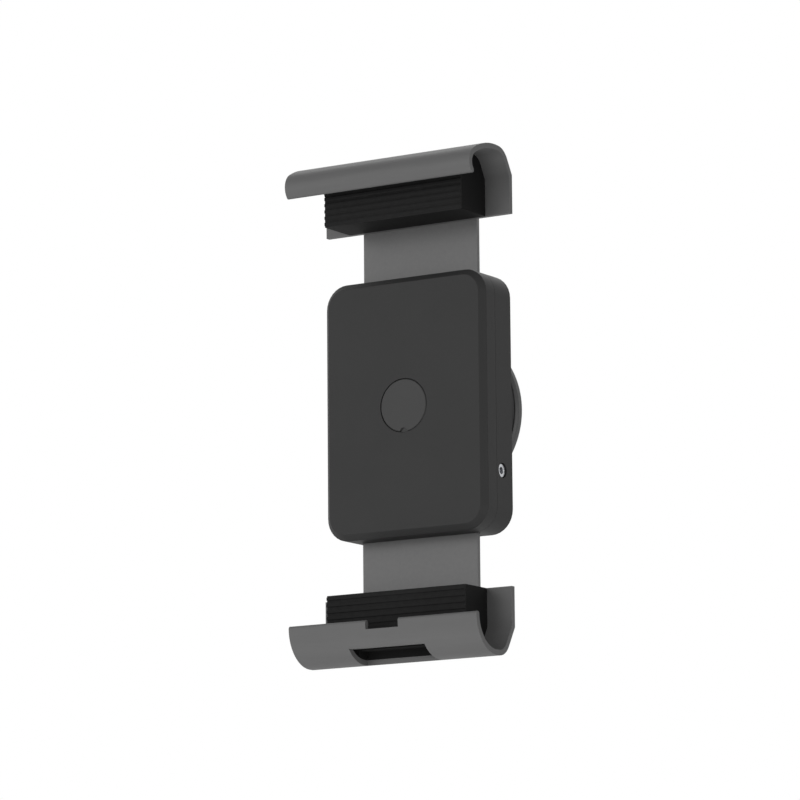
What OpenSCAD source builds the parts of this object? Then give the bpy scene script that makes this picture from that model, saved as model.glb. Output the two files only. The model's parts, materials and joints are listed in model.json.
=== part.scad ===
/* [Device] */
// Height of the device that the jaws are set to
device_h = 169.5; // [150:0.5:190]
// Thickness of that device
device_t = 6.1; // [4:0.1:7]
// Distance from the wall to the device's front
device_front = 46; // [45:0.5:50]

/* [Jaws] */
// Length of each jaw
jaw_len = 81; // [70:1:100]
// Wall of the jaw profile
jaw_wall = 2; // [1.6:0.1:2.4]
// Radius of the upper jaw's nose
upper_nose_r = 6.1; // [5.6:0.1:6.6]
// Distance from the device's front back to the centre of that nose
upper_nose_setback = 1.4; // [1:0.1:1.8]
// Distance from the device's edge in to that centre
upper_nose_drop = 0.5; // [0.1:0.1:0.9]
// Angle at which the upper nose curls under
upper_lip_angle = -40; // [-44:1:-36]
// Radius of the crown that runs back from the upper nose
crown_r = 30; // [28:0.5:32]
// Angle at which the upper nose passes into the crown
crown_start = 59.5; // [58:0.5:61]
// Angle at which the crown passes into the back corner
crown_end = 95; // [93:0.5:98]
// Radius of the lower jaw's front sweep
lower_nose_r = 14; // [13.4:0.1:14.6]
// Distance from the device's front back to the centre of that sweep
lower_nose_setback = 10.7; // [10.2:0.1:11.2]
// Distance from the device's edge in to that centre
lower_nose_drop = 3; // [2.5:0.1:3.5]
// Angle at which the lower sweep ends in its lip
lower_lip_angle = 1; // [-2:0.5:4]
// Width of the flat along the lower jaw's bottom
lower_flat = 1.6; // [1:0.1:2.2]
// Radius of both jaws' back corners
corner_r = 8; // [7.6:0.1:8.4]
// Direction that the sloping back of a jaw faces
back_slope = 149; // [147:1:151]
// Distance from the device's edge to the end of a jaw's flange
flange_drop = 15.25; // [13:0.25:15.5]
// Width of the cable cut-out in the lower jaw
cable_w = 32.4; // [24:0.2:44]
// Height of that cut-out, measured up from the jaw's bottom
cable_h = 5.1; // [4.6:0.1:5.6]
// Width of the button notch in the lower lip
notch_w = 14; // [10:0.5:20]
// Depth of that notch
notch_h = 3.4; // [2:0.1:4.5]
// Length of the core inside each jaw
core_len = 60; // [54:1:66]
// Thickness of the rubber on the core
grip_t = 1; // [0.6:0.1:1.4]
// Thickness of the rubber inside the lip
lip_liner_t = 0.8; // [0.5:0.1:1]
// Distance between the ridges on the core's rubber
grip_pitch = 2.4; // [2:0.1:4]

/* [Slides] */
// Width of a slide plate
plate_w = 50; // [48:0.5:52]
// Thickness of a slide plate
plate_t = 1.8; // [1.4:0.1:2]
// Distance from the wall to the back of the rear plate
plate_back = 18.6; // [18.4:0.1:19]
// Travel of each jaw inwards from this setting
travel_in = 20; // [12:0.5:20]
// Travel of each jaw outwards from this setting
travel_out = 22; // [12:0.5:22]
// Module of the rack and pinion
gear_module = 1.25; // [1:0.05:1.3]
// Number of teeth on the pinion
gear_teeth = 22; // [20:2:22]
// Play between the flanks of the teeth
backlash = 0.24; // [0.15:0.01:0.4]
// Distance between the screws along a jaw
jaw_screw_pitch = 18; // [14:0.5:20]
// Distance from the end of a flange to its screws
jaw_screw_edge = 4.6; // [4:0.1:5.4]

/* [Housing] */
// Room between the plates' edges and the housing's sides
side_room = 10; // [9.8:0.1:13]
// Distance from the wall to the housing's back
body_back = 12; // [11.6:0.1:12.2]
// Distance from the front plate's face to the joint of the two shells
split_clear = 2.2; // [2:0.1:3]
// Depth of the cover in front of that joint
cover_depth = 8.4; // [7.8:0.1:9]
// Wall of both shells
shell_wall = 2.4; // [2:0.1:2.6]
// Radius of the housing's corners
body_r = 9; // [7:0.5:10]
// Chamfer round the cover's front
edge_chamfer = 2.2; // [1.4:0.1:2.6]
// Chamfer round the housing's back
back_chamfer = 1.6; // [1:0.1:2]
// Radius of the access hole in the cover
access_r = 7.5; // [6.5:0.1:8]
// Radius of the cap over that hole
cap_r = 10; // [9.2:0.1:12]
// Thickness of the cap's head
cap_t = 1.2; // [1:0.1:1.6]
// Distance from the centre to the cover screws, upwards
cover_screw_z = 41; // [36:0.5:42]

/* [Swivel] */
// Radius of the wall plate
wall_plate_r = 31.5; // [31:0.5:36]
// Thickness of the wall plate
wall_plate_t = 3.5; // [3:0.1:3.6]
// Radius of the swivel journal on the wall plate
journal_r = 9; // [8.6:0.1:9.4]
// Length of that journal
journal_h = 5.5; // [5:0.1:5.6]
// Radius of the hub on the housing
hub_r = 30.5; // [29.5:0.5:30.5]
// Thickness of the slip ring
slip_t = 0.8; // [0.6:0.1:1]
// Radius of the circle of wall screw holes
screw_circle_r = 22; // [20:0.5:23]
// Number of wall screw holes
screw_count = 4; // [3:1:6]
// Radius of a wall screw hole
screw_hole_r = 2.3; // [2:0.1:2.6]
// Radius of the countersink at a wall screw hole
screw_sink_r = 4.6; // [4.2:0.1:5]
// Radius of the swivel bolt's thread
bolt_r = 3; // [2.6:0.1:3]
// Radius of the swivel bolt's head
bolt_head_r = 5; // [4.6:0.1:5.4]
// Height of the swivel bolt's head
bolt_head_h = 5.5; // [5:0.1:6]

/* [Lock] */
// Height of the lock screw below the centre
lock_drop = 26; // [22:0.5:30]
// Radius of the lock screw
lock_r = 2.5; // [2:0.1:2.5]
// Length of the brake shoe along the plates
shoe_len = 12; // [10:0.5:13]
// Thickness of the brake shoe
shoe_t = 2.6; // [2.2:0.1:2.8]

/* [Hidden] */
$fn = 64;
eps = 0.05;

// Clearances
running = 0.06;
slide_gap = 0.15;
layer_gap = 0.2;
thread_gap = 0.05;
fit_gap = 0.1;

// Depths are measured from the wall towards the viewer
device_edge = device_h / 2;
device_back = device_front - device_t;
core_front = device_back - grip_t;
rear_layer = plate_back;
front_layer = rear_layer + plate_t + layer_gap;
upper_seat = rear_layer + plate_t;
lower_seat = front_layer + plate_t;
flange_end = device_edge - flange_drop;
plate_end_gap = 5.6;
plate_top = device_edge - plate_end_gap;
plate_corner_r = 3;
core_screw_len = 9;
grip_web = 0.6;
liner_gap = 0.03;
liner_start = 4;
liner_inset = 0.5;
upper_liner_end = 50;
lower_liner_end = 42;
arc_step = 5;

// Gear and rack
pitch_r = gear_module * gear_teeth / 2;
tooth_pitch = PI * gear_module;
pressure_angle = 20;
base_r = pitch_r * cos(pressure_angle);
tip_r = pitch_r + gear_module;
dedendum = 1.25 * gear_module;
root_r = pitch_r - dedendum;
root_line = pitch_r + dedendum;
root_flare = 0.6;
mesh_reach = 3.5;
slot_plain_x = tip_r + 0.5;
fork_end = travel_out + mesh_reach;
rack_top = travel_in + mesh_reach;
rack_teeth = ceil(fork_end / tooth_pitch);
slot_top = travel_in + tip_r + 1.2;
pinion_overhang = 0.1;
pinion_t = 2 * plate_t + layer_gap - 2 * pinion_overhang;
pinion_back = rear_layer + pinion_overhang;

// Housing
end_gap = 1;
body_w = plate_w + 2 * side_room;
body_h = 2 * (flange_end - travel_in - end_gap);
split_depth = lower_seat + split_clear;
body_front = split_depth + cover_depth;
cover_screw_edge = 4.6;
cover_screw_x = body_w / 2 - cover_screw_edge;
hub_back = wall_plate_t + slip_t;
floor_front = body_back + shell_wall;
journal_end = wall_plate_t + journal_h;
collar_back = journal_end + 0.3;
collar_t = 3.2;
collar_front = collar_back + collar_t;
hub_bore_r = journal_r + running;
tube_r = journal_r + 0.4;
tube_inner_r = tube_r - 2.2;
tube_front = lower_seat + 1.4;
pinion_bore_r = tube_r + running;
ring_back = pinion_back + pinion_t + 0.2;
ring_t = 0.8;
ring_r = tube_r + 2.6;
ring_groove = 0.5;
hub_wall = 3;
hub_floor = hub_back + hub_wall;
bearing_wall_r = hub_bore_r + hub_wall;
rib_t = 1.6;
rib_count = 6;
rail_x = plate_w / 2 + slide_gap;
rail_t = 2;
ledge_w = 6;
ledge_len = 16;
shell_x = body_w / 2 - shell_wall;
cover_rib_inset = 5;
cover_rib_x = plate_w / 2 - cover_rib_inset;
cover_rib_end = 10;
cover_rib_h = body_h - 2 * cover_rib_end;
cover_inner = body_front - shell_wall;
boss_wall = 2;
boss_gap = 0.4;
notch_r = 1.6;
post_r = 3.2;

// Bolt stack
washer_t = 1;
spring_t = 1.5;
spring_sheet = 0.9;
head_back = collar_front + washer_t + spring_t;
bolt_end = 1;
socket_af = 5;
socket_depth = 3;
stack_r = tube_inner_r - 0.3;

// Small screws
small_screw_r = 1.25;
small_head_r = 2.3;
small_head_t = 1.5;
jaw_screw_r = 1.5;
jaw_head_r = 2.9;
jaw_head_t = 1.6;
jaw_head_edge = 0.8;
jaw_socket_af = 2;
jaw_socket_depth = 1.2;

// Lock
lock_depth = rear_layer + plate_t + layer_gap / 2;
shoe_x = rail_x;
shoe_h = 2 * plate_t - 0.2;
lock_tip_x = shoe_x + shoe_t + 0.2;
nut_x = lock_tip_x + 0.3;
nut_t = 3.2;
nut_r = 3.6;
lock_recess = 0.6;
lock_end_x = body_w / 2 - lock_recess;
lock_socket_depth = 2.4;
lock_block_room = 5;
lock_block_z = shoe_len + lock_block_room;

function direction(angle) = [cos(angle), sin(angle)];

// Each arc of a jaw's section is [centre, radius, first angle, last angle], from lip to back
upper_nose = [device_front - upper_nose_setback, device_edge - upper_nose_drop];
crown = upper_nose - (crown_r - upper_nose_r) * direction(crown_start);
upper_arcs = [
    [upper_nose, upper_nose_r, upper_lip_angle, crown_start],
    [crown, crown_r, crown_start, crown_end],
    [crown + (crown_r - corner_r) * direction(crown_end), corner_r, crown_end, back_slope]
];
lower_nose = [device_front - lower_nose_setback, device_edge - lower_nose_drop];
lower_corner = lower_nose + [-lower_flat, lower_nose_r - corner_r];
lower_arcs = [
    [lower_nose, lower_nose_r, lower_lip_angle, 90],
    [lower_corner, corner_r, 90, back_slope]
];
lower_front = lower_nose.x + lower_nose_r;
lower_bottom = lower_nose.y + lower_nose_r;

// Points along an arc, in the order of its angles
function arc(centre, r, from, to, steps) =
    [for (i = [0:steps]) centre + r * direction(from + (to - from) * i / steps)];

// The same arcs, further inside
function inset(arcs, cut) = [for (a = arcs) [a[0], a[1] - cut, a[2], a[3]]];

// Leaves out a point that lies on the one before it
function distinct(points) =
    [for (i = [0:len(points) - 1])
        if (i == 0 || norm(points[i] - points[max(i - 1, 0)]) > eps) points[i]];

// Height at which the sloping back meets the upright flange
function slope_foot(corner, seat) =
    let (n = direction(back_slope))
    (n * corner[0] + corner[1] - n.x * seat) / n.y;

// One side of a jaw's section, from its lip round to the flange's end
function jaw_side(arcs, seat) =
    distinct(concat(
        [for (a = arcs) each arc(a[0], a[1], a[2], a[3], ceil((a[3] - a[2]) / arc_step))],
        [[seat, slope_foot(arcs[len(arcs) - 1], seat)], [seat, flange_end]]
    ));

function inner_side(arcs, seat) = jaw_side(inset(arcs, jaw_wall), seat + jaw_wall);

function reversed(list) = [for (i = [len(list) - 1:-1:0]) list[i]];

// Section of the jaw's wall, with a round lip
function jaw_section(arcs, seat) =
    let (nose = arcs[0], tip = nose[0] + (nose[1] - jaw_wall / 2) * direction(nose[2]))
    distinct(concat(
        arc(tip, jaw_wall / 2, nose[2] - 180, nose[2], 6),
        jaw_side(arcs, seat),
        reversed(inner_side(arcs, seat))
    ));

// Flank of an involute tooth at a radius, as the angle from the tooth's middle
function involute(r) = let (a = acos(base_r / r)) tan(a) * 180 / PI - a;
function half_tooth(r) =
    90 / gear_teeth - (backlash / 2) / pitch_r * 90 / PI + involute(pitch_r) - involute(r);

function tooth_points(middle) =
    let (steps = 4, low = base_r + 0.01, heights = [for (i = [0:steps]) low + (tip_r - low) * i / steps])
    concat(
        [root_r * direction(middle - half_tooth(low) - root_flare)],
        [for (r = heights) r * direction(middle - half_tooth(r))],
        [for (r = reversed(heights)) r * direction(middle + half_tooth(r))],
        [root_r * direction(middle + half_tooth(low) + root_flare)]
    );

// Placement: a flat outline drawn across and up, from one depth to another
module slab(from, to) {
    translate([0, -from, 0]) rotate([90, 0, 0]) linear_extrude(to - from) children();
}

// A turned solid whose axis points from the wall to the viewer
module turned() {
    rotate([90, 0, 0]) rotate_extrude() children();
}

// A round rod or hole along the depth
module rod(r, from, to) {
    translate([0, -from, 0]) rotate([90, 0, 0]) cylinder(r = r, h = to - from);
}

// A section drawn as depth and height, run along the jaw
module along(length) {
    translate([-length / 2, 0, 0]) rotate([90, 0, 90]) linear_extrude(length)
        mirror([1, 0]) children();
}

module rounded_rect(w, h, r) {
    square([w - 2 * r, h], center = true);
    square([w, h - 2 * r], center = true);
    for (x = [-1, 1], z = [-1, 1])
        translate([x * (w / 2 - r), z * (h / 2 - r)]) circle(r);
}

// A rounded block with one chamfered end
module chamfered_block(w, h, r, square_end, chamfered_end, chamfer) {
    way = sign(chamfered_end - square_end);
    hull() {
        for (x = [-1, 1], z = [-1, 1])
            translate([x * (w / 2 - r), 0, z * (h / 2 - r)]) rotate([90, 0, 0]) {
                translate([0, 0, min(square_end, chamfered_end - way * chamfer)])
                    cylinder(r = r, h = abs(chamfered_end - square_end) - chamfer, $fn = 32);
                translate([0, 0, min(square_end, chamfered_end)])
                    cylinder(r = r - chamfer, h = abs(chamfered_end - square_end), $fn = 32);
            }
    }
}

module at_cover_screws() {
    for (x = [-1, 1], z = [-1, 1])
        translate([x * cover_screw_x, 0, z * cover_screw_z]) children();
}

module at_jaw_screws() {
    for (i = [-1:1])
        translate([i * jaw_screw_pitch, 0, flange_end + jaw_screw_edge]) children();
}

// The lower jaw faces down
module downwards() {
    mirror([0, 0, 1]) children();
}

module wall_plate() {
    color("dimgray") difference() {
        union() {
            turned() polygon([[0, 0], [wall_plate_r, 0], [wall_plate_r, wall_plate_t - 1],
                [wall_plate_r - 1, wall_plate_t], [0, wall_plate_t]]);
            rod(journal_r, wall_plate_t - 1, journal_end);
        }
        rod(bolt_r + thread_gap, -1, journal_end + 1);
        for (i = [0:screw_count - 1])
            rotate([0, 45 + i * 360 / screw_count, 0]) translate([screw_circle_r, 0, 0]) {
                rod(screw_hole_r, -1, wall_plate_t + 1);
                turned() polygon([[0, wall_plate_t - (screw_sink_r - screw_hole_r)],
                    [screw_hole_r, wall_plate_t - (screw_sink_r - screw_hole_r)],
                    [screw_sink_r, wall_plate_t], [screw_sink_r, wall_plate_t + 1],
                    [0, wall_plate_t + 1]]);
            }
    }
}

module slip_ring() {
    color("black") difference() {
        rod(hub_r - 1.5, wall_plate_t, hub_back);
        rod(journal_r + 0.4, wall_plate_t - 1, hub_back + 1);
    }
}

module swivel_bolt() {
    color("silver") difference() {
        union() {
            rod(bolt_r, bolt_end, head_back + eps);
            turned() polygon([[0, head_back], [bolt_head_r, head_back],
                [bolt_head_r, head_back + bolt_head_h - 0.5],
                [bolt_head_r - 0.5, head_back + bolt_head_h], [0, head_back + bolt_head_h]]);
        }
        translate([0, -(head_back + bolt_head_h - socket_depth), 0]) rotate([90, 0, 0])
            cylinder(d = socket_af / cos(30), h = socket_depth + 1, $fn = 6);
    }
}

module thrust_washer() {
    color("silver") difference() {
        rod(stack_r, collar_front, collar_front + washer_t);
        rod(bolt_r + 0.2, collar_front - 1, collar_front + washer_t + 1);
    }
}

module disc_spring() {
    low = collar_front + washer_t;
    color("silver") turned() polygon([[stack_r - 0.2, low], [stack_r, low + spring_sheet],
        [bolt_r + 0.4, low + spring_t], [bolt_r + 0.2, low + spring_t - spring_sheet]]);
}

module rear_housing() {
    color("dimgray") difference() {
        union() {
            difference() {
                chamfered_block(body_w, body_h, body_r, split_depth, body_back, back_chamfer);
                slab(floor_front, split_depth + 1)
                    rounded_rect(body_w - 2 * shell_wall, body_h - 2 * shell_wall, body_r - shell_wall);
            }
            // Hub, hollow at the front
            difference() {
                rod(hub_r, hub_back, floor_front - eps);
                rod(hub_r - hub_wall, hub_floor, floor_front + 1);
            }
            rod(bearing_wall_r, hub_floor - eps, rear_layer);
            for (i = [0:rib_count - 1])
                rotate([0, 30 + i * 360 / rib_count, 0])
                    translate([bearing_wall_r - 1, -floor_front, -rib_t / 2])
                        cube([hub_r - hub_wall - bearing_wall_r + 2, floor_front - hub_floor + eps, rib_t]);
            rod(tube_r, collar_front, tube_front);
            // Rails beside the plates and ledges under them
            for (side = [-1, 1]) {
                slab(floor_front - eps, lower_seat + slide_gap)
                    translate([side * (rail_x + rail_t / 2), 0])
                        square([rail_t, body_h - 2 * shell_wall + eps], center = true);
                slab(floor_front - eps, rear_layer - fit_gap) for (end = [-1, 1])
                    translate([side * (plate_w / 2 - ledge_w / 2 + slide_gap),
                        end * (body_h / 2 - shell_wall - ledge_len / 2)])
                        square([ledge_w, ledge_len + eps], center = true);
            }
            // Block round the lock screw
            slab(floor_front - eps, split_depth - 0.2)
                translate([rail_x, -lock_drop - lock_block_z / 2])
                    square([shell_x - rail_x + eps, lock_block_z]);
            at_cover_screws() rod(post_r, floor_front - eps, split_depth);
        }
        rod(hub_bore_r, hub_back - 1, collar_back);
        rod(bolt_r + 0.3, collar_back - 1, collar_front + 1);
        rod(tube_inner_r, collar_front, tube_front + 1);
        // Groove for the retaining ring
        difference() {
            rod(tube_r + 1, ring_back, ring_back + ring_t);
            rod(tube_r - ring_groove, ring_back - 1, ring_back + ring_t + 1);
        }
        // Slots for the two plates
        slab(rear_layer - slide_gap, rear_layer + plate_t + layer_gap / 2)
            translate([-rail_x, body_h / 2 - shell_wall - 1]) square([2 * rail_x, shell_wall + 2]);
        slab(front_layer - layer_gap / 2, front_layer + plate_t + slide_gap)
            translate([-rail_x, -body_h / 2 - 1]) square([2 * rail_x, shell_wall + 2]);
        at_cover_screws() {
            rod(small_screw_r + 0.2, body_back - 1, split_depth + 1);
            rod(small_head_r + 0.3, body_back - 1, body_back + small_head_t);
        }
        // Pocket for the brake shoe, seat for the nut and hole for the screw
        translate([rail_x - 1, -(lock_depth + shoe_h / 2 + fit_gap), -lock_drop - shoe_len / 2 - fit_gap])
            cube([shoe_t + 1.1, shoe_h + 2 * fit_gap, shoe_len + 2 * fit_gap]);
        translate([0, -lock_depth, -lock_drop]) rotate([0, 90, 0]) {
            translate([0, 0, rail_x]) cylinder(r = lock_r + 0.3, h = body_w);
            translate([0, 0, nut_x]) cylinder(r = nut_r, h = nut_t);
        }
    }
}

module front_cover() {
    color("dimgray") difference() {
        union() {
            difference() {
                chamfered_block(body_w, body_h, body_r, split_depth, body_front, edge_chamfer);
                slab(split_depth - 1, cover_inner)
                    rounded_rect(body_w - 2 * shell_wall, body_h - 2 * shell_wall, body_r - shell_wall);
            }
            // Ribs that keep the plates down
            for (side = [-1, 1])
                slab(lower_seat + slide_gap, cover_inner + eps)
                    translate([side * cover_rib_x, 0]) square([rib_t, cover_rib_h], center = true);
            at_cover_screws() rod(post_r, split_depth, cover_inner + eps);
            rod(access_r + boss_wall, tube_front + boss_gap, cover_inner + eps);
        }
        rod(access_r, split_depth - 1, body_front + 1);
        rod(cap_r + fit_gap, body_front - cap_t, body_front + 1);
        at_cover_screws() rod(small_screw_r - 0.15, split_depth - 1, cover_inner - 1);
    }
}

module cover_screws() {
    color("silver") at_cover_screws() {
        rod(small_screw_r - 0.15, body_back + small_head_t - eps, cover_inner - 2);
        difference() {
            rod(small_head_r, body_back + 0.2, body_back + small_head_t);
            for (turn = [0, 90]) rotate([0, turn, 0])
                translate([-1.5, -(body_back + 0.9), -0.3]) cube([3, 1, 0.6]);
        }
    }
}

module access_cap() {
    color("dimgray") difference() {
        union() {
            turned() polygon([[0, body_front - cap_t], [cap_r, body_front - cap_t],
                [cap_r, body_front - 0.4], [cap_r - 0.4, body_front], [0, body_front]]);
            rod(access_r - fit_gap, body_front - cap_t - 4, body_front - cap_t + eps);
        }
        rod(access_r - fit_gap - 1.2, body_front - cap_t - 5, body_front - cap_t);
        // Thumbnail notch
        translate([0, 0, -cap_r]) rod(notch_r, body_front - 0.7, body_front + 1);
    }
}

module brake_shoe() {
    color("black")
        translate([shoe_x, -(lock_depth + shoe_h / 2), -lock_drop - shoe_len / 2])
            cube([shoe_t, shoe_h, shoe_len]);
}

module lock_nut() {
    color("goldenrod") translate([nut_x, -lock_depth, -lock_drop]) rotate([0, 90, 0]) difference() {
        cylinder(r = nut_r, h = nut_t);
        translate([0, 0, -1]) cylinder(r = lock_r + thread_gap, h = nut_t + 2);
    }
}

module lock_screw() {
    color("silver") translate([lock_tip_x, -lock_depth, -lock_drop]) rotate([0, 90, 0]) difference() {
        cylinder(r = lock_r, h = lock_end_x - lock_tip_x);
        translate([0, 0, lock_end_x - lock_tip_x - lock_socket_depth])
            cylinder(d = lock_r / cos(30), h = lock_socket_depth + 1, $fn = 6);
    }
}

module pinion() {
    color("silver") slab(pinion_back, pinion_back + pinion_t) difference() {
        polygon([for (i = [0:gear_teeth - 1], p = tooth_points(i * 360 / gear_teeth)) p]);
        circle(pinion_bore_r);
    }
}

module retaining_ring() {
    color("silver") difference() {
        rod(ring_r, ring_back, ring_back + ring_t);
        rod(tube_r - ring_groove, ring_back - 1, ring_back + ring_t + 1);
        translate([0, -ring_back - 2, -ring_r]) cube([ring_r, 4, 4], center = true);
    }
}

// A forked plate with a rack on its left leg
module slide_plate_outline() {
    difference() {
        hull() {
            translate([-plate_w / 2, -fork_end]) square([plate_w, 1]);
            for (side = [-1, 1])
                translate([side * (plate_w / 2 - plate_corner_r), plate_top - plate_corner_r])
                    circle(plate_corner_r, $fn = 32);
        }
        translate([-root_line, -fork_end - 1])
            square([root_line + slot_plain_x, slot_top + fork_end + 1]);
    }
    // Rack teeth
    intersection() {
        translate([-root_line - 1, -fork_end]) square([gear_module * 3 + 1, fork_end + rack_top]);
        for (i = [-rack_teeth:rack_teeth])
            translate([-pitch_r, (i + 0.5) * tooth_pitch]) rack_tooth();
    }
}

module rack_tooth() {
    half = (tooth_pitch - backlash) / 4;
    lean = tan(pressure_angle);
    down = dedendum + eps;
    polygon([[-down, -half - down * lean], [gear_module, -half + gear_module * lean],
        [gear_module, half - gear_module * lean], [-down, half + down * lean]]);
}

module slide_plate(from) {
    color("gainsboro") difference() {
        slab(from, from + plate_t) slide_plate_outline();
        at_jaw_screws() rod(jaw_screw_r + 0.1, from - 1, from + plate_t + 1);
    }
}

module jaw(arcs, seat) {
    color("gray") difference() {
        along(jaw_len) polygon(jaw_section(arcs, seat));
        at_jaw_screws() rod(jaw_screw_r + 0.1, seat - 1, seat + jaw_wall + 1);
        children();
    }
}

// Inside of a jaw behind the device, filled up to the grip
module jaw_core(arcs, seat) {
    color("black") difference() {
        along(core_len) intersection() {
            polygon(concat(inner_side(arcs, seat), [[lower_front, flange_end]]));
            translate([0, flange_end]) square([core_front, device_edge]);
        }
        at_jaw_screws() rod(jaw_screw_r - 0.1, seat, seat + core_screw_len + 1);
    }
}

// Ridged rubber on the core's front
module grip() {
    height = flange_drop - 1;
    color("black") along(core_len) translate([core_front, flange_end]) {
        square([grip_t * grip_web, height]);
        for (i = [0:floor(height / grip_pitch) - 1])
            translate([0, (i + 0.25) * grip_pitch]) square([grip_t, grip_pitch / 2]);
    }
}

// Rubber inside a lip, just clear of the jaw's wall
module lip_liner(arcs, to) {
    nose = inset(arcs, jaw_wall + liner_gap)[0];
    from = nose[2] + liner_start;
    color("black") along(jaw_len - 2 * liner_inset)
        polygon(concat(arc(nose[0], nose[1], from, to, 10),
            reversed(arc(nose[0], nose[1] - lip_liner_t, from, to, 10))));
}

module jaw_screws(plate_from) {
    head_back = plate_from - jaw_head_t;
    color("silver") at_jaw_screws() difference() {
        union() {
            rod(jaw_screw_r - 0.1, plate_from - eps, plate_from + core_screw_len);
            turned() polygon([[0, head_back], [jaw_head_r - jaw_head_edge, head_back],
                [jaw_head_r, head_back + jaw_head_edge], [jaw_head_r, plate_from], [0, plate_from]]);
        }
        translate([0, -(head_back - 1), 0]) rotate([90, 0, 0])
            cylinder(d = jaw_socket_af / cos(30), h = jaw_socket_depth + 1, $fn = 6);
    }
}

// Space of the button notch in the lower lip
module notch_space(margin) {
    lip_end = lower_nose.y + (lower_nose_r - jaw_wall / 2) * sin(lower_lip_angle) - jaw_wall / 2;
    translate([-notch_w / 2 - margin, -(lower_front + 1), lip_end - 1])
        cube([notch_w + 2 * margin, lower_front + 1 - device_front, notch_h + 1 + margin]);
}

// Space of the cable cut-out in the lower jaw
module cable_space() {
    translate([-cable_w / 2, -(lower_front + 1), lower_bottom - cable_h])
        cube([cable_w, lower_front + 1 - lower_corner.x, cable_h + 1]);
}

module upper_slide_plate() { slide_plate(rear_layer); }
module upper_jaw() { jaw(upper_arcs, upper_seat); }
module upper_jaw_core() { jaw_core(upper_arcs, upper_seat); }
module upper_grip() { grip(); }
module upper_lip_liner() { lip_liner(upper_arcs, upper_liner_end); }
module upper_jaw_screws() { jaw_screws(rear_layer); }

module lower_slide_plate() { rotate([0, 180, 0]) slide_plate(front_layer); }
module lower_jaw() {
    downwards() jaw(lower_arcs, lower_seat) {
        notch_space(0);
        cable_space();
    }
}
module lower_jaw_core() {
    downwards() difference() {
        jaw_core(lower_arcs, lower_seat);
        cable_space();
    }
}
module lower_grip() { downwards() grip(); }
module lower_lip_liner() {
    downwards() difference() {
        lip_liner(lower_arcs, lower_liner_end);
        notch_space(0.5);
    }
}
module lower_jaw_screws() { downwards() jaw_screws(front_layer); }

wall_plate();
slip_ring();
swivel_bolt();
thrust_washer();
disc_spring();
rear_housing();
front_cover();
cover_screws();
access_cap();
brake_shoe();
lock_nut();
lock_screw();
pinion();
retaining_ring();
upper_slide_plate();
upper_jaw();
upper_jaw_core();
upper_grip();
upper_lip_liner();
upper_jaw_screws();
lower_slide_plate();
lower_jaw();
lower_jaw_core();
lower_grip();
lower_lip_liner();
lower_jaw_screws();
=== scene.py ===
import json
import math

import bmesh
import bpy
from mathutils import Matrix, Vector


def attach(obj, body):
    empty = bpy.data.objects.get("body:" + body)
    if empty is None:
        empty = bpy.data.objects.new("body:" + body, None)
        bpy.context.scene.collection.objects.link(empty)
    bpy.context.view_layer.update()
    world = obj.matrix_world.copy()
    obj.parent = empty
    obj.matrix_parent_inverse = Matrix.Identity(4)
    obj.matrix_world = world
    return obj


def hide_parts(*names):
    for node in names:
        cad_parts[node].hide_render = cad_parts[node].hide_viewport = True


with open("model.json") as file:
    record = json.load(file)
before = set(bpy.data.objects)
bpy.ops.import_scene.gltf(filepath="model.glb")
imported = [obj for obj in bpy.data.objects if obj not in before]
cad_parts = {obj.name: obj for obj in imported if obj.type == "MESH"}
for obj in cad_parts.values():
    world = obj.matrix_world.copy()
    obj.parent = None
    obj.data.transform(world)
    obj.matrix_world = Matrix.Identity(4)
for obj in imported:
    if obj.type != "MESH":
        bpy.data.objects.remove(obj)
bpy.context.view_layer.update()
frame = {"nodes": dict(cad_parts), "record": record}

mm = 0.001
print("Frame loaded:", len(frame["nodes"]), "solids")


# Camera, where the photographer stood: right of the holder and a little below it
cameraSetup = {
    "aim": (6.78 * mm, -46 * mm, -0.61 * mm),
    "turn": 32.291,  # degrees to the right of straight on
    "rise": 9.861,  # degrees that it looks up
    "roll": -0.485,
    "distance": 1.588,
    "lens": 195.11,
    "sensor": 36,
}


def placeCamera(setup):
    turn, rise, roll = (math.radians(setup[key]) for key in ("turn", "rise", "roll"))
    ahead = Vector((-math.sin(turn) * math.cos(rise), math.cos(turn) * math.cos(rise), math.sin(rise)))
    right = Vector((math.cos(turn), math.sin(turn), 0))
    up = right.cross(ahead)
    rolledRight = math.cos(roll) * right + math.sin(roll) * up
    rolledUp = math.cos(roll) * up - math.sin(roll) * right
    data = bpy.data.cameras.new("photoCamera")
    data.lens = setup["lens"]
    data.sensor_width = setup["sensor"]
    camera = bpy.data.objects.new("photoCamera", data)
    bpy.context.scene.collection.objects.link(camera)
    turned = Matrix((rolledRight, rolledUp, -ahead)).transposed()
    place = Vector(setup["aim"]) - setup["distance"] * ahead
    camera.matrix_world = Matrix.Translation(place) @ turned.to_4x4()
    bpy.context.scene.camera = camera


placeCamera(cameraSetup)


# Studio: a white sweep of light, a pale floor well below the holder, four soft lamps
studio = {
    "ambient": 0.39,
    "floorHeight": -1.7,
    "floorSize": 16.0,
    "floorColour": (0.82, 0.82, 0.82, 1),
    "floorGlow": 0.66,
    "lamps": [
        {"name": "keyLamp", "place": (-0.9, -1.9, 0.3), "size": 1.3, "watts": 15},
        {"name": "lowLamp", "place": (-0.2, -0.7, -1.1), "size": 0.6, "watts": 5},
        {"name": "fillLamp", "place": (1.4, -0.9, -0.3), "size": 0.5, "watts": 6},
        {"name": "backLamp", "place": (-0.2, 0.9, 1.5), "size": 1.2, "watts": 12},
    ],
}


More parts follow.
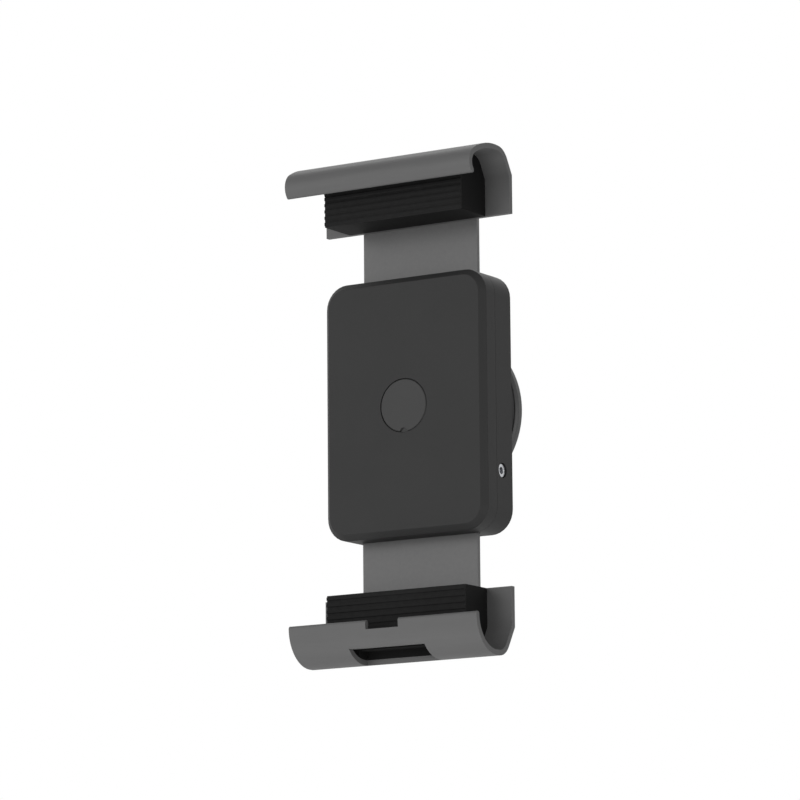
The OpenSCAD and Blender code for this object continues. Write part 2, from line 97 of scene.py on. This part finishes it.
def seenDirectly(tree):  # 1 for what the camera, a gloss or a clear part sees, else 0
    path = tree.nodes.new("ShaderNodeLightPath")
    total = path.outputs["Is Camera Ray"]
    for name in ("Is Glossy Ray", "Is Transmission Ray"):
        both = tree.nodes.new("ShaderNodeMath")
        both.operation = "MAXIMUM"
        tree.links.new(total, both.inputs[0])
        tree.links.new(path.outputs[name], both.inputs[1])
        total = both.outputs[0]
    return total


def makeWorld(ambient):
    world = bpy.data.worlds.new("studioLight")
    world.use_nodes = True
    tree = world.node_tree
    background = tree.nodes["Background"]
    background.inputs["Color"].default_value = (1, 1, 1, 1)
    spread = tree.nodes.new("ShaderNodeMapRange")
    spread.inputs["To Min"].default_value = ambient
    spread.inputs["To Max"].default_value = 1
    tree.links.new(seenDirectly(tree), spread.inputs["Value"])
    tree.links.new(spread.outputs["Result"], background.inputs["Strength"])
    bpy.context.scene.world = world


def makeFloor(setup):
    half = setup["floorSize"] / 2
    square = ((-half, -half), (half, -half), (half, half), (-half, half))
    corners = [(x, y, setup["floorHeight"]) for x, y in square]
    mesh = bpy.data.meshes.new("floor")
    mesh.from_pydata(corners, [], [(0, 1, 2, 3)])
    floor = bpy.data.objects.new("floor", mesh)
    bpy.context.scene.collection.objects.link(floor)
    material = bpy.data.materials.new("paleFloor")
    material.use_nodes = True
    tree = material.node_tree
    tree.nodes.remove(tree.nodes["Principled BSDF"])
    matt = tree.nodes.new("ShaderNodeBsdfDiffuse")
    matt.inputs["Color"].default_value = setup["floorColour"]
    glow = tree.nodes.new("ShaderNodeEmission")
    strength = tree.nodes.new("ShaderNodeMath")
    strength.operation = "MULTIPLY"
    strength.inputs[1].default_value = setup["floorGlow"]
    tree.links.new(seenDirectly(tree), strength.inputs[0])
    tree.links.new(strength.outputs[0], glow.inputs["Strength"])
    both = tree.nodes.new("ShaderNodeAddShader")
    tree.links.new(matt.outputs[0], both.inputs[0])
    tree.links.new(glow.outputs[0], both.inputs[1])
    tree.links.new(both.outputs[0], tree.nodes["Material Output"].inputs["Surface"])
    mesh.materials.append(material)


def makeLamps(lamps):
    for lamp in lamps:
        data = bpy.data.lights.new(lamp["name"], "AREA")
        data.shape = "DISK"
        data.size = lamp["size"]
        data.energy = lamp["watts"]
        light = bpy.data.objects.new(lamp["name"], data)
        bpy.context.scene.collection.objects.link(light)
        towards = Vector(cameraSetup["aim"]) - Vector(lamp["place"])
        light.location = lamp["place"]
        light.rotation_euler = towards.to_track_quat("-Z", "Y").to_euler()


makeWorld(studio["ambient"])
makeFloor(studio)
makeLamps(studio["lamps"])
bpy.context.scene.view_settings.view_transform = "Standard"
print("Studio and camera ready")


# Shared parts of every finish
def newFinish(name, colour, metal, roughness):
    material = bpy.data.materials.new(name)
    material.use_nodes = True
    material.diffuse_color = (*colour, 1)
    shader = material.node_tree.nodes["Principled BSDF"]
    shader.inputs["Base Color"].default_value = (*colour, 1)
    shader.inputs["Metallic"].default_value = metal
    shader.inputs["Roughness"].default_value = roughness
    return material


def grainNoise(tree, scale, stretch=(1, 1, 1), detail=3):  # noise fixed to the piece itself
    place = tree.nodes.new("ShaderNodeTexCoord")
    mapping = tree.nodes.new("ShaderNodeMapping")
    mapping.inputs["Scale"].default_value = stretch
    noise = tree.nodes.new("ShaderNodeTexNoise")
    noise.inputs["Scale"].default_value = scale
    noise.inputs["Detail"].default_value = detail
    tree.links.new(place.outputs["Object"], mapping.inputs["Vector"])
    tree.links.new(mapping.outputs["Vector"], noise.inputs["Vector"])
    return noise.outputs["Fac"]


def varyColour(material, height, dark, light):
    tree = material.node_tree
    shader = tree.nodes["Principled BSDF"]
    mix = tree.nodes.new("ShaderNodeMix")
    mix.data_type = "RGBA"
    mix.inputs["A"].default_value = (*dark, 1)
    mix.inputs["B"].default_value = (*light, 1)
    tree.links.new(height, mix.inputs["Factor"])
    tree.links.new(mix.outputs["Result"], shader.inputs["Base Color"])


def varyRoughness(material, height, low, high):
    tree = material.node_tree
    spread = tree.nodes.new("ShaderNodeMapRange")
    spread.inputs["To Min"].default_value = low
    spread.inputs["To Max"].default_value = high
    tree.links.new(height, spread.inputs["Value"])
    tree.links.new(spread.outputs["Result"], tree.nodes["Principled BSDF"].inputs["Roughness"])


def addBump(material, height, depth, strength):
    tree = material.node_tree
    shader = tree.nodes["Principled BSDF"]
    bump = tree.nodes.new("ShaderNodeBump")
    bump.inputs["Strength"].default_value = strength
    bump.inputs["Distance"].default_value = depth
    tree.links.new(height, bump.inputs["Height"])
    if shader.inputs["Normal"].is_linked:
        tree.links.new(shader.inputs["Normal"].links[0].from_socket, bump.inputs["Normal"])
    tree.links.new(bump.outputs["Normal"], shader.inputs["Normal"])


def shade(value):  # a neutral grey from its brightness on screen, 0 to 1
    linear = value / 12.92 if value < 0.04045 else ((value + 0.055) / 1.055) ** 2.4
    return (linear, linear, linear)


def varyGrey(material, height, brightness, spread):
    varyColour(material, height, shade(brightness - spread), shade(brightness + spread))


def setGloss(material, gloss):
    material.node_tree.nodes["Principled BSDF"].inputs["Specular IOR Level"].default_value = gloss


# Finishes, with their values above them: greys are brightness on screen, grain is noise a metre
aluminium = {
    "brightness": 0.38,
    "spread": 0.01,
    "metal": 0.2,
    "gloss": 0.25,
    "roughness": 0.64,
    "smoothest": 0.58,
    "roughest": 0.7,
    "cloudGrain": 60,
    "drawnGrain": 900,
    "drawnStretch": (0.04, 1, 1),
    "drawnDepth": 0.02 * mm,
    "drawnStrength": 0.15,
    "blastedGrain": 5200,
    "blastedDepth": 0.03 * mm,
    "blastedStrength": 0.25,
}


def satinAluminium(look):
    material = newFinish(
        "satinAluminium", shade(look["brightness"]), look["metal"], look["roughness"]
    )
    tree = material.node_tree
    drawn = grainNoise(tree, look["drawnGrain"], look["drawnStretch"])  # lines along the profile
    blasted = grainNoise(tree, look["blastedGrain"])
    cloud = grainNoise(tree, look["cloudGrain"])
    varyGrey(material, cloud, look["brightness"], look["spread"])
    varyRoughness(material, drawn, look["smoothest"], look["roughest"])
    setGloss(material, look["gloss"])
    addBump(material, blasted, look["blastedDepth"], look["blastedStrength"])
    addBump(material, drawn, look["drawnDepth"], look["drawnStrength"])
    return material


plastic = {
    "spread": 0.012,
    "smoother": 0.07,
    "rougher": 0.1,
    "grain": 2600,
    "detail": 5,
    "depth": 0.06 * mm,
    "strength": 0.35,
    "cloudGrain": 45,
}


def sparkPlastic(name, brightness, roughness, gloss):  # moulded, with a spark-eroded texture
    material = newFinish(name, shade(brightness), 0, roughness)
    tree = material.node_tree
    texture = grainNoise(tree, plastic["grain"], detail=plastic["detail"])
    cloud = grainNoise(tree, plastic["cloudGrain"])
    varyGrey(material, cloud, brightness, plastic["spread"])
    smoothest, roughest = roughness - plastic["smoother"], roughness + plastic["rougher"]
    varyRoughness(material, texture, smoothest, roughest)
    addBump(material, texture, plastic["depth"], plastic["strength"])
    setGloss(material, gloss)
    return material


rubber = {
    "brightness": 0.11,
    "spread": 0.02,
    "gloss": 0.15,
    "roughness": 0.8,
    "smoothest": 0.7,
    "roughest": 0.9,
    "dustGrain": 400,
    "skinGrain": 3500,
    "depth": 0.05 * mm,
    "strength": 0.3,
}


def ridgedRubber(look):
    material = newFinish("ridgedRubber", shade(look["brightness"]), 0, look["roughness"])
    tree = material.node_tree
    setGloss(material, look["gloss"])
    dust = grainNoise(tree, look["dustGrain"])
    skin = grainNoise(tree, look["skinGrain"])
    varyGrey(material, dust, look["brightness"], look["spread"])
    varyRoughness(material, skin, look["smoothest"], look["roughest"])
    addBump(material, skin, look["depth"], look["strength"])
    return material


coat = {
    "spread": 0.015,
    "metal": 0.1,
    "roughness": 0.5,
    "smoothest": 0.42,
    "roughest": 0.6,
    "peelGrain": 700,
    "peelDetail": 2,
    "speckGrain": 4200,
    "depth": 0.05 * mm,
    "strength": 0.3,
}


def powderCoat(name, brightness):
    material = newFinish(name, shade(brightness), coat["metal"], coat["roughness"])
    tree = material.node_tree
    peel = grainNoise(tree, coat["peelGrain"], detail=coat["peelDetail"])
    speck = grainNoise(tree, coat["speckGrain"])
    varyGrey(material, peel, brightness, coat["spread"])
    varyRoughness(material, speck, coat["smoothest"], coat["roughest"])
    addBump(material, peel, coat["depth"], coat["strength"])
    return material


turnedLook = {
    "stainShare": 0.85,
    "smoother": 0.08,
    "rougher": 0.12,
    "grain": 1500,
    "stretch": (1, 0.2, 1),
    "stainGrain": 220,
    "depth": 0.02 * mm,
    "strength": 0.25,
}


def turnedMetal(name, colour, roughness):
    look = turnedLook
    material = newFinish(name, colour, 1, roughness)
    tree = material.node_tree
    turned = grainNoise(tree, look["grain"], look["stretch"])
    stain = grainNoise(tree, look["stainGrain"])
    varyColour(material, stain, tuple(look["stainShare"] * part for part in colour), colour)
    varyRoughness(material, turned, roughness - look["smoother"], roughness + look["rougher"])
    addBump(material, turned, look["depth"], look["strength"])
    return material


finishes = {
    "jaw_aluminium": satinAluminium(aluminium),
    "housing_plastic": sparkPlastic("housingPlastic", brightness=0.15, roughness=0.6, gloss=0.25),
    "cap_plastic": sparkPlastic("capPlastic", brightness=0.18, roughness=0.52, gloss=0.28),
    # the core's near-black is partly its own black plastic and partly painted shade, standing in for
    # the shadow the held tablet casts inside the jaws
    "core_plastic": sparkPlastic("corePlastic", brightness=0.07, roughness=0.75, gloss=0.1),
    "grip_rubber": ridgedRubber(rubber),
    "plate_steel": powderCoat("platePowderCoat", brightness=0.36),
    "painted_steel": powderCoat("wallPlateCoat", brightness=0.24),
    "zinc_steel": turnedMetal("zincSteel", colour=(0.55, 0.56, 0.58), roughness=0.32),
    "nylon": sparkPlastic("blackNylon", brightness=0.12, roughness=0.45, gloss=0.4),
    "brass": turnedMetal("turnedBrass", colour=(0.62, 0.43, 0.16), roughness=0.3),
}
print("Finishes made:", len(finishes))


# Softened pieces: each solid is welded, its edges are rounded, and it stands for its node
softening = {
    "weld": 0.002 * mm,
    "flatAngle": math.radians(0.4),
    "segments": 2,
    "smoothAngle": math.radians(38),
}
softEdges = {  # width of the rounding, in millimetres
    "upper_jaw": 0.4,
    "lower_jaw": 0.4,
    "upper_jaw_core": 0.5,
    "lower_jaw_core": 0.5,
    "upper_grip": 0.15,
    "lower_grip": 0.15,
    "upper_lip_liner": 0.12,
    "lower_lip_liner": 0.12,
    "upper_slide_plate": 0.18,
    "lower_slide_plate": 0.18,
    "rear_housing": 0.25,
    "front_cover": 0.3,
    "access_cap": 0.15,
    "wall_plate": 0.25,
    "slip_ring": 0.1,
    "upper_jaw_screws": 0.12,
    "lower_jaw_screws": 0.12,
    "cover_screws": 0.08,
    "lock_screw": 0.12,
    "lock_nut": 0.15,
    "swivel_bolt": 0.15,
    "thrust_washer": 0.1,
    "disc_spring": 0.08,
    "brake_shoe": 0.15,
    "retaining_ring": 0.08,
    "pinion": 0.1,
}
bodies = frame["record"]["behaviour"]["bodies"]
bodyOf = {node: body for body, members in bodies.items() for node in members}
slotOf = {part["node"]: part["material_slot"] for part in frame["record"]["subparts"]}


def softenNode(node, width):
    name = "soft_" + node
    mesh = bpy.data.meshes.new(name)
    solid = bmesh.new()
    solid.from_mesh(frame["nodes"][node].data)
    bmesh.ops.remove_doubles(solid, verts=solid.verts, dist=softening["weld"])
    bmesh.ops.dissolve_limit(
        solid, angle_limit=softening["flatAngle"], verts=solid.verts, edges=solid.edges
    )
    bmesh.ops.recalc_face_normals(solid, faces=solid.faces)
    solid.to_mesh(mesh)
    solid.free()
    piece = bpy.data.objects.new(name, mesh)
    bpy.context.scene.collection.objects.link(piece)
    bevel = piece.modifiers.new("roundedEdges", "BEVEL")
    bevel.width = width * mm
    bevel.segments = softening["segments"]
    bevel.limit_method = "ANGLE"
    bevel.angle_limit = softening["smoothAngle"]
    bevel.miter_outer = "MITER_ARC"
    evaluated = piece.evaluated_get(bpy.context.evaluated_depsgraph_get())
    rounded = bpy.data.meshes.new_from_object(evaluated)
    piece.modifiers.clear()
    piece.data = rounded
    rounded.shade_smooth()
    rounded.set_sharp_from_angle(angle=softening["smoothAngle"])
    rounded.materials.clear()
    rounded.materials.append(finishes[slotOf[node]])
    even = piece.modifiers.new("evenShading", "WEIGHTED_NORMAL")
    even.keep_sharp = True
    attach(piece, bodyOf[node])
    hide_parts(node)


for node, width in softEdges.items():
    softenNode(node, width)
print("Pieces softened:", len(softEdges))
